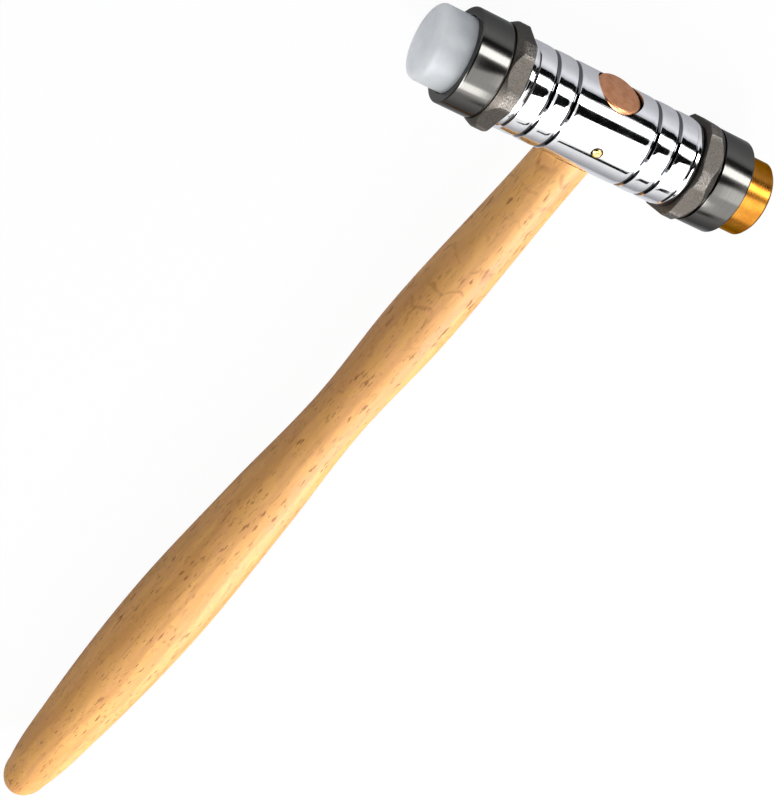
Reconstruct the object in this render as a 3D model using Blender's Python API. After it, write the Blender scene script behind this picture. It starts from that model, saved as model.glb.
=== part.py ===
"""Small two-faced hammer: nylon and brass faces in screwed holders on a turned barrel, beech handle.

The hammer lies on its side. +X points to the brass face, +Y to the top of the head, +Z up.
The origin is under the middle of the hammer, on the surface that it lies on. Lengths are metres.
"""
import math

import bmesh
import bpy
from mathutils import Vector

# Clearance between pieces that touch, all round.
FIT_GAP = 0.0003

# Barrel: a turned bar with two narrow grooves near each end and a stepped lip at its ends.
BARREL_RADIUS = 0.0087
BARREL_LENGTH = 0.0378
GROOVE_POSITIONS = (0.0088, 0.0134)
GROOVE_WIDTH = 0.0010
GROOVE_DEPTH = 0.0005
LIP_LENGTH = 0.0012
LIP_STEP = 0.0003
LIP_CHAMFER = 0.0004

# Screw thread that joins each holder to the barrel.
THREAD_PITCH = 0.0015
THREAD_DEPTH = 0.0008
THREAD_FLAT = 0.0003
STUD_RADIUS = 0.00485
STUD_LENGTH = 0.0078
STUD_NECK_LENGTH = 0.0015
HOLE_SPARE = 0.0010
THREAD_ANGLE = math.radians(3.0)

# Face inserts: round rods pushed into the holders' cups.
FACE_RADIUS = 0.00735
FACE_PROUD = 0.0062
FACE_SEAT = 0.0070
NYLON_EDGE_ROUND = 0.0010
BRASS_EDGE_CHAMFER = 0.0006
FACE_BACK_CHAMFER = 0.0005

# Holders: hexagon bar, turned down to a sleeve outside a spanner collar.
SLEEVE_WALL = 0.00165
SLEEVE_LENGTH = 0.0065
RIM_CHAMFER = 0.0004
RELIEF_WIDTH = 0.0005
RELIEF_DEPTH = 0.0005
COLLAR_WIDTH = 0.0037
FLAT_STAND = 0.0001
CORNER_STAND = 0.0009
COLLAR_CHAMFER_LENGTH = 0.0015
COLLAR_BACK_CHAMFER = 0.0002
NYLON_FLAT_ANGLE = math.radians(48.6)
BRASS_FLAT_ANGLE = math.radians(32.0)

# Handle: a turned stick, as (distance below the head's axis, radius) at its neck, swell, waist,
# shoulder, grip, taper and heel.
NECK_RADIUS = 0.00540
SWELL = (0.060, 0.00670)
WAIST = (0.088, 0.00595)
SHOULDER = (0.125, 0.00770)
GRIP = (0.168, 0.00910)
TAPER = (0.215, 0.00760)
HEEL = (0.2390, 0.00555)
HANDLE_REACH = 0.2473
HEEL_STEEPNESS = 2.0
TENON_RADIUS = 0.0047

# Copper plug that closes the eye, with a tapered shank driven into the tenon's end.
PLUG_SINK = 0.00065
PLUG_THICKNESS = 0.0020
PLUG_CHAMFER = 0.0003
SHANK_LENGTH = 0.0038
SHANK_TOP_RADIUS = 0.0020
SHANK_TIP_RADIUS = 0.0012

# Brass pin through the barrel and the tenon.
PIN_RADIUS = 0.0010
PIN_PROUD = 0.0004
PIN_DOME = 0.0003

# Facets round turned pieces, the handle and the screw threads.
TURN_FACETS = 40
HANDLE_FACETS = 28
THREAD_FACETS = 20
ROUND_STEPS = 4
HANDLE_STEPS = 5
WELD_DISTANCE = 0.000001

# Turn from one spanner flat to the next.
FLAT_TURN = math.radians(60)

# Places along the head, measured outwards from its middle.
BARREL_END = BARREL_LENGTH / 2
COLLAR_BACK = BARREL_END + FIT_GAP
COLLAR_FRONT = COLLAR_BACK + COLLAR_WIDTH
SLEEVE_BACK = COLLAR_FRONT + RELIEF_WIDTH
RIM = SLEEVE_BACK + SLEEVE_LENGTH
FACE_BACK = RIM - FACE_SEAT
FACE_FRONT = RIM + FACE_PROUD
CUP_FLOOR = FACE_BACK - FIT_GAP
STUD_TIP = COLLAR_BACK - STUD_LENGTH
THREAD_START = COLLAR_BACK - STUD_NECK_LENGTH
HOLE_FLOOR = STUD_TIP - HOLE_SPARE

# Radii that follow from the fits.
CUP_RADIUS = FACE_RADIUS + FIT_GAP
SLEEVE_RADIUS = CUP_RADIUS + SLEEVE_WALL
HEX_APOTHEM = SLEEVE_RADIUS + FLAT_STAND
COLLAR_RADIUS = SLEEVE_RADIUS + CORNER_STAND
RELIEF_RADIUS = SLEEVE_RADIUS - RELIEF_DEPTH
STUD_ROOT_RADIUS = STUD_RADIUS - THREAD_DEPTH
TAP_RADIUS = STUD_RADIUS + FIT_GAP
TAP_ROOT_RADIUS = TAP_RADIUS - THREAD_DEPTH
SINK_RADIUS = TAP_RADIUS + FIT_GAP
EYE_RADIUS = TENON_RADIUS + FIT_GAP
PLUG_RADIUS = TENON_RADIUS
PLUG_TOP = BARREL_RADIUS - PLUG_SINK
PLUG_UNDERSIDE = PLUG_TOP - PLUG_THICKNESS
TENON_TOP = PLUG_UNDERSIDE - FIT_GAP


def collar_reach(direction, flat_angle):
    """How far a collar with one flat at flat_angle reaches along a direction square to the head."""
    half_flat = math.acos(HEX_APOTHEM / COLLAR_RADIUS)
    turn = (direction - flat_angle) % FLAT_TURN
    from_flat_middle = min(turn, FLAT_TURN - turn)
    return COLLAR_RADIUS * math.cos(max(half_flat - from_flat_middle, 0.0))


# The head's axis stands over the origin by the lower collar's reach, and lies ahead of it by what
# centres the whole length.
DOWNWARDS = math.radians(-90)
HEAD_HEIGHT = max(collar_reach(DOWNWARDS, NYLON_FLAT_ANGLE), collar_reach(DOWNWARDS, BRASS_FLAT_ANGLE))
HEAD_TOP = max(collar_reach(0.0, NYLON_FLAT_ANGLE), collar_reach(0.0, BRASS_FLAT_ANGLE))
HEAD_AHEAD = (HANDLE_REACH - HEAD_TOP) / 2

ALONG_PLUS_X = (0.0, math.radians(90), 0.0)
ALONG_MINUS_X = (0.0, math.radians(-90), 0.0)
ALONG_PLUS_Y = (math.radians(-90), 0.0, 0.0)
ALONG_MINUS_Y = (math.radians(90), 0.0, 0.0)
ALONG_PLUS_Z = (0.0, 0.0, 0.0)


def clear_scene():
    for old in list(bpy.data.objects):
        bpy.data.objects.remove(old, do_unlink=True)


def make_material(name, colour, roughness, metallic):
    material = bpy.data.materials.new(name)
    material.use_nodes = True
    shader = material.node_tree.nodes["Principled BSDF"]
    shader.inputs["Base Color"].default_value = (*colour, 1.0)
    shader.inputs["Roughness"].default_value = roughness
    shader.inputs["Metallic"].default_value = metallic
    material.diffuse_color = (*colour, 1.0)
    return material


def make_empty(name, parent, rotation):
    empty = bpy.data.objects.new(name, None)
    empty.rotation_euler = rotation
    empty.parent = parent
    bpy.context.collection.objects.link(empty)
    return empty


def add_object(name, mesh, parent, material=None):
    """Add a mesh as a piece, or as a hidden cutter where it has no material."""
    piece = bpy.data.objects.new(name, mesh)
    piece.parent = parent
    bpy.context.collection.objects.link(piece)
    if material is None:
        piece.hide_render = True
        piece.display_type = 'WIRE'
    else:
        mesh.materials.append(material)
    return piece


def turned(name, outline, parent, material=None, facets=TURN_FACETS, start=0.0):
    """Turn an outline of (radius, height) points about the parent's Z axis.

    The outline runs from the axis at the top, down the outer side, to the axis at the bottom.
    Facets begin at the start angle, so that edges of crossing pieces can be kept apart.
    """
    points = [(radius, 0.0, height) for radius, height in outline]
    edges = [(i, i + 1) for i in range(len(points) - 1)]
    mesh = bpy.data.meshes.new(name)
    mesh.from_pydata(points, edges, [])
    piece = add_object(name, mesh, parent, material)
    piece.rotation_euler = (0.0, 0.0, start)
    screw = piece.modifiers.new("turn", 'SCREW')
    screw.axis = 'Z'
    screw.steps = facets
    screw.render_steps = facets
    screw.use_merge_vertices = True
    screw.merge_threshold = 0.00001
    screw.use_smooth_shade = True
    return piece


def cut(piece, cutter):
    boolean = piece.modifiers.new("cut " + cutter.name, 'BOOLEAN')
    boolean.operation = 'DIFFERENCE'
    boolean.object = cutter


def join(piece, other):
    boolean = piece.modifiers.new("join " + other.name, 'BOOLEAN')
    boolean.operation = 'UNION'
    boolean.object = other


def threaded_rod(name, parent, crest_radius, bottom, top):
    """A right-hand threaded rod about the parent's Z axis, cut square at both ends."""
    root_radius = crest_radius - THREAD_DEPTH
    flank = (THREAD_PITCH - 2 * THREAD_FLAT) / 2
    ridge = (
        (root_radius, 0.0),
        (root_radius, THREAD_FLAT),
        (crest_radius, THREAD_FLAT + flank),
        (crest_radius, 2 * THREAD_FLAT + flank),
    )
    first = math.floor(bottom / THREAD_PITCH) - 2
    last = math.ceil(top / THREAD_PITCH) + 2
    mesh = bpy.data.meshes.new(name)
    bm = bmesh.new()
    corners = []
    for turn in range(first, last):
        for radius, height in ridge:
            corners.append(bm.verts.new((radius, 0.0, turn * THREAD_PITCH + height)))
    ridge_edges = [bm.edges.new(pair) for pair in zip(corners, corners[1:])]
    # Each step of the sweep climbs by its share of the pitch, so a full turn meets the next ridge.
    bmesh.ops.spin(
        bm, geom=corners + ridge_edges, cent=(0.0, 0.0, 0.0), axis=(0.0, 0.0, 1.0),
        dvec=(0.0, 0.0, THREAD_PITCH / THREAD_FACETS), angle=math.tau, steps=THREAD_FACETS,
    )
    bmesh.ops.remove_doubles(bm, verts=bm.verts[:], dist=WELD_DISTANCE)
    for height, keep_below in ((bottom, False), (top, True)):
        sliced = bmesh.ops.bisect_plane(
            bm, geom=bm.verts[:] + bm.edges[:] + bm.faces[:], dist=WELD_DISTANCE / 10,
            plane_co=(0.0, 0.0, height), plane_no=(0.0, 0.0, 1.0),
            clear_outer=keep_below, clear_inner=not keep_below,
        )
        rim = [item for item in sliced["geom_cut"] if isinstance(item, bmesh.types.BMEdge)]
        bmesh.ops.edgeloop_fill(bm, edges=rim)
    bmesh.ops.recalc_face_normals(bm, faces=bm.faces[:])
    bm.to_mesh(mesh)
    bm.free()
    rod = add_object(name, mesh, parent)
    rod.rotation_euler = (0.0, 0.0, THREAD_ANGLE)
    return rod


def flats_cutter(name, parent, start):
    """A ring with a hexagonal hole, which cuts spanner flats on a collar from the start angle on."""
    hole_corner = HEX_APOTHEM / math.cos(FLAT_TURN / 2)
    rim_corner = 2 * COLLAR_RADIUS
    bottom = COLLAR_BACK - COLLAR_WIDTH
    height = COLLAR_FRONT + RELIEF_WIDTH / 2 - bottom
    mesh = bpy.data.meshes.new(name)
    bm = bmesh.new()
    for corner in (hole_corner, rim_corner):
        bmesh.ops.create_circle(bm, segments=6, radius=corner)
    ring = bmesh.ops.bridge_loops(bm, edges=bm.edges[:])
    raised = bmesh.ops.extrude_face_region(bm, geom=ring["faces"], use_keep_orig=True)
    raised_verts = [item for item in raised["geom"] if isinstance(item, bmesh.types.BMVert)]
    bmesh.ops.translate(bm, verts=raised_verts, vec=(0.0, 0.0, height))
    bmesh.ops.translate(bm, verts=bm.verts[:], vec=(0.0, 0.0, bottom))
    bmesh.ops.recalc_face_normals(bm, faces=bm.faces[:])
    bm.to_mesh(mesh)
    bm.free()
    cutter = add_object(name, mesh, parent)
    # A corner of the primitive lies on its Y axis, half a flat's turn from the nearest flat.
    cutter.rotation_euler = (0.0, 0.0, start + FLAT_TURN / 2)
    return cutter


def barrel_outline():
    """One countersunk end of the barrel, from its axis to its middle, then the same mirrored."""
    sink_floor_radius = TAP_ROOT_RADIUS - FIT_GAP
    lip_radius = BARREL_RADIUS - LIP_STEP
    lip_back = BARREL_END - LIP_LENGTH
    half = [
        (0.0, BARREL_END - SINK_RADIUS + sink_floor_radius),
        (sink_floor_radius, BARREL_END - SINK_RADIUS + sink_floor_radius),
        (SINK_RADIUS, BARREL_END),
        (lip_radius - LIP_CHAMFER, BARREL_END),
        (lip_radius, BARREL_END - LIP_CHAMFER),
        (lip_radius, lip_back),
        (BARREL_RADIUS, lip_back - LIP_STEP),
    ]
    for position in sorted(GROOVE_POSITIONS, reverse=True):
        outer = position + GROOVE_WIDTH / 2
        inner = position - GROOVE_WIDTH / 2
        half += [
            (BARREL_RADIUS, outer),
            (BARREL_RADIUS - GROOVE_DEPTH, outer),
            (BARREL_RADIUS - GROOVE_DEPTH, inner),
            (BARREL_RADIUS, inner),
        ]
    return half + [(radius, -height) for radius, height in reversed(half)]


def holder_outline():
    """Cup floor, cup wall, rim, sleeve, relief groove, collar, back face and the stud's neck."""
    neck_radius = STUD_ROOT_RADIUS - FIT_GAP / 2
    neck_tip = THREAD_START - THREAD_PITCH / 2
    return [
        (0.0, CUP_FLOOR),
        (CUP_RADIUS, CUP_FLOOR),
        (CUP_RADIUS, RIM),
        (SLEEVE_RADIUS - RIM_CHAMFER, RIM),
        (SLEEVE_RADIUS, RIM - RIM_CHAMFER),
        (SLEEVE_RADIUS, SLEEVE_BACK),
        (RELIEF_RADIUS, SLEEVE_BACK),
        (RELIEF_RADIUS, COLLAR_FRONT),
        (SLEEVE_RADIUS, COLLAR_FRONT),
        (COLLAR_RADIUS, COLLAR_FRONT - COLLAR_CHAMFER_LENGTH),
        (COLLAR_RADIUS, COLLAR_BACK + COLLAR_BACK_CHAMFER),
        (COLLAR_RADIUS - COLLAR_BACK_CHAMFER, COLLAR_BACK),
        (neck_radius, COLLAR_BACK),
        (neck_radius, neck_tip),
        (0.0, neck_tip),
    ]


def face_outline(front_edge):
    """A rod from its striking face to its back, with the given points round its front edge."""
    return [
        (0.0, FACE_FRONT),
        *front_edge,
        (FACE_RADIUS, FACE_BACK + FACE_BACK_CHAMFER),
        (FACE_RADIUS - FACE_BACK_CHAMFER, FACE_BACK),
        (0.0, FACE_BACK),
    ]


def rounded_edge(radius):
    """Points round a rod's front edge, from the striking face to its side."""
    points = []
    for step in range(ROUND_STEPS + 1):
        turn = math.radians(90) * step / ROUND_STEPS
        side = FACE_RADIUS - radius + radius * math.sin(turn)
        points.append((side, FACE_FRONT - radius + radius * math.cos(turn)))
    return points


def chamfered_edge(width):
    return [(FACE_RADIUS - width, FACE_FRONT), (FACE_RADIUS, FACE_FRONT - width)]


def handle_outline():
    """The handle's side from inside the barrel to its round heel, with heights measured downwards."""
    neck = (BARREL_RADIUS, NECK_RADIUS)
    stations = [neck, SWELL, WAIST, SHOULDER, GRIP, TAPER, HEEL]
    slopes = [0.0]
    for before, here, after in zip(stations, stations[1:], stations[2:]):
        rise_before = (here[1] - before[1]) / (here[0] - before[0])
        rise_after = (after[1] - here[1]) / (after[0] - here[0])
        # The side runs level where it turns, at the swell, the waist and the grip.
        turns = rise_before * rise_after <= 0
        slopes.append(0.0 if turns else (rise_before + rise_after) / 2)
    # It runs into the round heel at a steeper slope than the taper's average.
    slopes.append(HEEL_STEEPNESS * (HEEL[1] - TAPER[1]) / (HEEL[0] - TAPER[0]))
    side = [(0.0, 0.0), (NECK_RADIUS, 0.0)]
    for i in range(len(stations) - 1):
        (start, start_radius), (end, end_radius) = stations[i], stations[i + 1]
        length = end - start
        for step in range(HANDLE_STEPS):
            u = step / HANDLE_STEPS
            radius = (
                (2 * u**3 - 3 * u**2 + 1) * start_radius
                + (u**3 - 2 * u**2 + u) * length * slopes[i]
                + (3 * u**2 - 2 * u**3) * end_radius
                + (u**3 - u**2) * length * slopes[i + 1]
            )
            side.append((radius, start + u * length))
    heel_length = HANDLE_REACH - HEEL[0]
    for step in range(HANDLE_STEPS):
        turn = math.radians(90) * step / HANDLE_STEPS
        side.append((HEEL[1] * math.cos(turn), HEEL[0] + heel_length * math.sin(turn)))
    side.append((0.0, HANDLE_REACH))
    # The turned side runs from the heel, which is the top of the outline, back to the head.
    return side[::-1]


def plug_outline():
    return [
        (0.0, PLUG_TOP),
        (PLUG_RADIUS - PLUG_CHAMFER, PLUG_TOP),
        (PLUG_RADIUS, PLUG_TOP - PLUG_CHAMFER),
        (PLUG_RADIUS, PLUG_UNDERSIDE),
        (SHANK_TOP_RADIUS, PLUG_UNDERSIDE),
        (SHANK_TIP_RADIUS, PLUG_UNDERSIDE - SHANK_LENGTH),
        (0.0, PLUG_UNDERSIDE - SHANK_LENGTH),
    ]


def tenon_outline():
    """The handle's tenon, from the socket that the plug's shank fills down into the neck."""
    socket_floor = PLUG_UNDERSIDE - SHANK_LENGTH - FIT_GAP
    tenon_bottom = -BARREL_RADIUS - 2 * TENON_RADIUS
    return [
        (0.0, socket_floor),
        (SHANK_TIP_RADIUS + FIT_GAP, socket_floor),
        (SHANK_TOP_RADIUS + FIT_GAP, TENON_TOP),
        (TENON_RADIUS, TENON_TOP),
        (TENON_RADIUS, tenon_bottom),
        (0.0, tenon_bottom),
    ]


def pin_outline():
    """A straight pin, domed where it stands proud and flush on the far side."""
    top = BARREL_RADIUS + PIN_PROUD
    return [
        (0.0, top),
        (PIN_RADIUS / 2, top - PIN_DOME / 4),
        (PIN_RADIUS, top - PIN_DOME),
        (PIN_RADIUS, -BARREL_RADIUS),
        (0.0, -BARREL_RADIUS),
    ]


def plain_rod(radius, bottom, top):
    return [(0.0, top), (radius, top), (radius, bottom), (0.0, bottom)]


def make_end(end_name, head, rotation, flat_start, front_edge, face_material, holder_material):
    """One end of the head: its thread axis, face insert and holder."""
    axis = make_empty(end_name + " thread axis", head, rotation)
    turned(end_name + "_face", face_outline(front_edge), axis, face_material)
    holder = turned(end_name + "_holder", holder_outline(), axis, holder_material)
    cut(holder, flats_cutter(end_name + " flats cutter", axis, flat_start))
    join(holder, threaded_rod(end_name + " stud thread", axis, STUD_RADIUS, STUD_TIP, THREAD_START))
    return axis


def main():
    clear_scene()
    chrome = make_material("polished chrome", (0.80, 0.81, 0.83), 0.08, 1.0)
    gunmetal = make_material("dark nickel", (0.13, 0.13, 0.125), 0.35, 1.0)
    nylon = make_material("white nylon", (0.72, 0.75, 0.80), 0.45, 0.0)
    brass = make_material("brass", (0.85, 0.52, 0.10), 0.25, 1.0)
    copper = make_material("copper", (0.62, 0.30, 0.17), 0.40, 1.0)
    beech = make_material("beech", (0.72, 0.44, 0.22), 0.50, 0.0)

    head = make_empty("head", None, ALONG_PLUS_Z)
    head.location = Vector((0.0, HEAD_AHEAD, HEAD_HEIGHT))
    head_axis = make_empty("head axis", head, ALONG_PLUS_X)
    handle_axis = make_empty("handle axis", head, ALONG_MINUS_Y)
    eye_axis = make_empty("eye axis", head, ALONG_PLUS_Y)
    pin_axis = make_empty("pin axis", head, ALONG_PLUS_Z)

    nylon_axis = make_end(
        "nylon", head, ALONG_MINUS_X, -NYLON_FLAT_ANGLE,
        rounded_edge(NYLON_EDGE_ROUND), nylon, gunmetal,
    )
    brass_axis = make_end(
        "brass", head, ALONG_PLUS_X, BRASS_FLAT_ANGLE,
        chamfered_edge(BRASS_EDGE_CHAMFER), brass, gunmetal,
    )

    half_facet = math.pi / TURN_FACETS
    barrel = turned("head_barrel", barrel_outline(), head_axis, chrome, start=half_facet)
    eye = turned("eye cutter", plain_rod(EYE_RADIUS, -2 * BARREL_RADIUS, 2 * BARREL_RADIUS), eye_axis)
    pin_hole = turned(
        "pin hole cutter",
        plain_rod(PIN_RADIUS + FIT_GAP, -2 * BARREL_RADIUS, 2 * BARREL_RADIUS),
        pin_axis, facets=THREAD_FACETS, start=math.pi / THREAD_FACETS,
    )
    cut(barrel, threaded_rod("nylon tap", nylon_axis, TAP_RADIUS, HOLE_FLOOR, COLLAR_BACK))
    cut(barrel, threaded_rod("brass tap", brass_axis, TAP_RADIUS, HOLE_FLOOR, COLLAR_BACK))
    cut(barrel, eye)
    cut(barrel, pin_hole)

    handle = turned("handle", handle_outline(), handle_axis, beech, HANDLE_FACETS)
    saddle = turned(
        "saddle cutter", plain_rod(BARREL_RADIUS + FIT_GAP, -BARREL_END, BARREL_END),
        head_axis, start=half_facet,
    )
    cut(handle, saddle)
    join(handle, turned("tenon", tenon_outline(), eye_axis, facets=HANDLE_FACETS))
    cut(handle, pin_hole)

    turned("eye_plug", plug_outline(), eye_axis, copper)
    turned("handle_pin", pin_outline(), pin_axis, brass, THREAD_FACETS)


main()
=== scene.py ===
import math

import bpy
from mathutils import Matrix, Vector


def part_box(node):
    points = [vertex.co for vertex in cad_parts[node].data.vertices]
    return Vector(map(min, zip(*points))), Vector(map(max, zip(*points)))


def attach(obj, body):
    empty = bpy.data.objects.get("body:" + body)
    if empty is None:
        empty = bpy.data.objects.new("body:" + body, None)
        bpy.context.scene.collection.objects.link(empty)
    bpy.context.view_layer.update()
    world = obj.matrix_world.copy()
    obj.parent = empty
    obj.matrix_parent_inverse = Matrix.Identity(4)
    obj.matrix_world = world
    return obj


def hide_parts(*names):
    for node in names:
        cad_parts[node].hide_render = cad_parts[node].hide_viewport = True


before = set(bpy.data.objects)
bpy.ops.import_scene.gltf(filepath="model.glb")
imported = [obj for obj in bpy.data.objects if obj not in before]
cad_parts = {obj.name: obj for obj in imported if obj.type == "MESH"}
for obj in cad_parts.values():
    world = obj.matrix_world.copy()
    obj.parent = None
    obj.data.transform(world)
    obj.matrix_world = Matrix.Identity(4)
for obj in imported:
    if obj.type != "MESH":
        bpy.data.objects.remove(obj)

scene = bpy.context.scene
scene.view_settings.view_transform = 'Standard'
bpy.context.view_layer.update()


# Head barrel
# A steel bar turned with narrow grooves and a stepped lip near each end, then chrome plated.
# It is tapped at both ends for the face holders, bored across for the handle and drilled for its pin.
barrel_low, barrel_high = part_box("head_barrel")
HEAD = (barrel_low + barrel_high) / 2
BARREL_END = (barrel_high.x - barrel_low.x) / 2
BARREL_RADIUS = 0.0087
GROOVE_PLACES = (0.0134, 0.0088)
GROOVE_WIDTH = 0.0010
GROOVE_DEPTH = 0.0005
GROOVE_EDGE = 0.00012
GROOVE_FLOOR_WIDTH = 0.00016
GROOVE_ROUND = 0.00005
SHOULDER_LENGTH = 0.0007
SHOULDER_DROP = 0.00007
SHOULDER_ROUND = 0.005
LIP_RADIUS = 0.00852
LIP_LENGTH = 0.0010
LIP_EDGE = 0.0005
LIP_BACK_EDGE = 0.00012
NOTCH_RADIUS = 0.00818
NOTCH_FLANK = 0.00035
NOTCH_ROUND = 0.00005
NOTCH_EDGE = 0.00015
THREAD_PITCH = 0.0015
THREAD_FLAT = 0.0003
THREAD_SINK = 0.0001
TAP_RADIUS = 0.00515
TAP_CREST = 0.00435
TAP_FLOOR = 0.0104
SINK_RADIUS = 0.00545
EYE_RADIUS = 0.0050
PIN_HOLE_RADIUS = 0.00118
TURN_STEPS = 128
THREAD_STEPS = 48
FILLET_STEPS = 6
WELD_DISTANCE = 0.000002
SMOOTH_ANGLE = 30.0
NONE_TO_FULL = (0.0, 1.0)
FULL_TO_NONE = (1.0, 0.0)
CLOUD_RANGE = (0.35, 0.68)
CHROME = (0.88, 0.885, 0.90)
CHROME_DULL = (0.82, 0.825, 0.845)
# Painted shade for the floors of the grooves.
CHROME_PAINTED_GROOVE_SHADE = (0.15, 0.155, 0.165)
CHROME_ROUGHNESS = (0.035, 0.075)
CHROME_CLOUD_FINENESS = 420.0
CHROME_MARK_FINENESS = 9000.0
CHROME_MARK_STRENGTH = 0.05
CHROME_MARK_DEPTH = 0.00002
RECESS_TOP = 0.0001
RECESS_BOTTOM = 0.00022
RECESS_ENDS = (0.0150, 0.0152)
UNSHADED_STRIP_REACH = (0.0009, 0.0014)
ALONG_HEAD = Vector((1.0, 0.0, 0.0))
ALONG_HANDLE = Vector((0.0, 1.0, 0.0))
ALONG_PIN = Vector((0.0, 0.0, 1.0))


def rounded(corners):
    """Points of an outline through (radius, along, fillet) corners, with an arc at each filleted one."""
    points = []
    for i, (radius, along, fillet) in enumerate(corners):
        here = Vector((radius, along))
        if not fillet:
            points.append(here)
            continue
        back = (Vector(corners[i - 1][:2]) - here).normalized()
        ahead = (Vector(corners[i + 1][:2]) - here).normalized()
        half_angle = back.angle(ahead) / 2
        centre = here + (back + ahead).normalized() * fillet / math.sin(half_angle)
        first = here + back * fillet / math.tan(half_angle) - centre
        last = here + ahead * fillet / math.tan(half_angle) - centre
        for step in range(FILLET_STEPS + 1):
            points.append(centre + first.slerp(last, step / FILLET_STEPS).normalized() * fillet)
    return points


def draw_outline(name, points):
    """Draw a chain of edges, corner by corner, from a plane drawn together at its first point."""
    bpy.ops.object.select_all(action='DESELECT')
    bpy.ops.mesh.primitive_plane_add(size=BARREL_RADIUS, location=points[0])
    piece = bpy.context.object
    piece.name = name
    piece.data.name = name
    bpy.ops.object.mode_set(mode='EDIT')
    bpy.ops.mesh.merge(type='CENTER')
    for here, there in zip(points, points[1:]):
        bpy.ops.mesh.extrude_vertices_move(TRANSFORM_OT_translate={"value": there - here})
    bpy.ops.object.mode_set(mode='OBJECT')
    bpy.ops.object.transform_apply(location=True)
    return piece


def close_up(piece):
    """Weld a piece's seams and turn its faces outwards."""
    bpy.ops.object.mode_set(mode='EDIT')
    bpy.ops.mesh.select_all(action='SELECT')
    bpy.ops.mesh.remove_doubles(threshold=WELD_DISTANCE)
    bpy.ops.mesh.normals_make_consistent(inside=False)
    bpy.ops.object.mode_set(mode='OBJECT')


def turn(name, outline, axis, across, steps=TURN_STEPS):
    """Turn an outline of (radius, along) points about an axis through the head's middle."""
    piece = draw_outline(name, [HEAD + axis * point[1] + across * point[0] for point in outline])
    bpy.ops.object.mode_set(mode='EDIT')
    bpy.ops.mesh.select_all(action='SELECT')
    bpy.ops.mesh.spin(steps=steps, angle=math.tau, center=HEAD, axis=axis)
    bpy.ops.object.mode_set(mode='OBJECT')
    close_up(piece)
    return piece


def apply_modifier(piece, modifier):
    """Make a modifier's result the piece's own mesh."""
    bpy.ops.object.select_all(action='DESELECT')
    piece.select_set(True)
    bpy.context.view_layer.objects.active = piece
    bpy.ops.object.modifier_apply(modifier=modifier.name)


def combine(piece, other, operation):
    """Cut another shape out of a piece, or join it on, and delete the other shape."""
    boolean = piece.modifiers.new(other.name, 'BOOLEAN')
    boolean.operation = operation
    boolean.object = other
    apply_modifier(piece, boolean)
    bpy.data.objects.remove(other, do_unlink=True)


def join(piece, other):
    """Join another shape into a piece's mesh."""
    bpy.ops.object.select_all(action='DESELECT')
    other.select_set(True)
    piece.select_set(True)
    bpy.context.view_layer.objects.active = piece
    bpy.ops.object.join()


def thread_coil(name, outward, base_radius, crest_radius, tip, top):
    """A right-hand thread's ridge along the head, wound from a small closed loop and capped at both ends."""
    flank = THREAD_PITCH / 2 - THREAD_FLAT
    ridge = (
        (base_radius, tip),
        (crest_radius, tip + flank),
        (crest_radius, tip + flank + THREAD_FLAT),
        (base_radius, tip + 2 * flank + THREAD_FLAT),
        (base_radius, tip),
    )
    coil = draw_outline(name, [HEAD + outward * along + ALONG_PIN * radius for radius, along in ridge])
    scene.cursor.location = HEAD
    bpy.ops.object.origin_set(type='ORIGIN_CURSOR')
    turns = math.floor((top - tip) / THREAD_PITCH) - 1
    winding = coil.modifiers.new("winding", 'SCREW')
    winding.axis = 'X'
    winding.steps = THREAD_STEPS
    winding.render_steps = THREAD_STEPS
    winding.screw_offset = THREAD_PITCH * outward.x
    winding.angle = math.tau * outward.x
    winding.iterations = turns
    apply_modifier(coil, winding)
    bpy.ops.object.transform_apply(location=True)
    bpy.ops.object.mode_set(mode='EDIT')
    bpy.ops.mesh.select_all(action='SELECT')
    bpy.ops.mesh.remove_doubles(threshold=WELD_DISTANCE)
    bpy.ops.mesh.select_all(action='DESELECT')
    bpy.ops.mesh.select_mode(type='EDGE')
    bpy.ops.mesh.select_non_manifold()
    bpy.ops.mesh.fill_holes(sides=len(ridge))
    bpy.ops.mesh.select_mode(type='VERT')
    bpy.ops.object.mode_set(mode='OBJECT')
    close_up(coil)
    return coil


def shade(piece, material, angle=SMOOTH_ANGLE):
    """Smooth a piece up to the given edge angle and give it its finish."""
    bpy.ops.object.select_all(action='DESELECT')
    piece.select_set(True)
    bpy.context.view_layer.objects.active = piece
    bpy.ops.object.shade_smooth_by_angle(angle=math.radians(angle))
    piece.data.materials.clear()
    piece.data.materials.append(material)


def new_material(name):
    """A Principled material, with its node tree and its shader."""
    material = bpy.data.materials.new(name)
    material.use_nodes = True
    return material, material.node_tree, material.node_tree.nodes["Principled BSDF"]


def add_node(tree, kind, operation=None, **values):
    """Add a shader node and set its inputs by name."""
    node = tree.nodes.new("ShaderNode" + kind)
    if operation:
        node.operation = operation
    for socket, value in values.items():
        node.inputs[socket.replace("_", " ")].default_value = value
    return node


def distance_off_axis(tree, vector):
    """How far a point or a direction lies off the line along the head."""
    sideways = add_node(tree, "VectorMath", 'MULTIPLY')
    sideways.inputs[1].default_value = (0.0, 1.0, 1.0)
    tree.links.new(vector, sideways.inputs[0])
    length = add_node(tree, "VectorMath", 'LENGTH')
    tree.links.new(sideways.outputs["Vector"], length.inputs[0])
    return length.outputs["Value"]


def absolute(tree, value):
    """A value without its sign."""
    size = add_node(tree, "Math", 'ABSOLUTE')
    tree.links.new(value, size.inputs[0])
    return size.outputs["Value"]


def place(tree):
    """The piece's own coordinates, counted from the middle of the head."""
    coordinates = add_node(tree, "TexCoord")
    centred = add_node(tree, "Mapping", Location=-HEAD)
    tree.links.new(coordinates.outputs["Object"], centred.inputs["Vector"])
    return centred.outputs["Vector"]


def axis_part(tree, vector, axis):
    """One coordinate of a vector."""
    parts = add_node(tree, "SeparateXYZ")
    tree.links.new(vector, parts.inputs["Vector"])
    return parts.outputs[axis]


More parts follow.
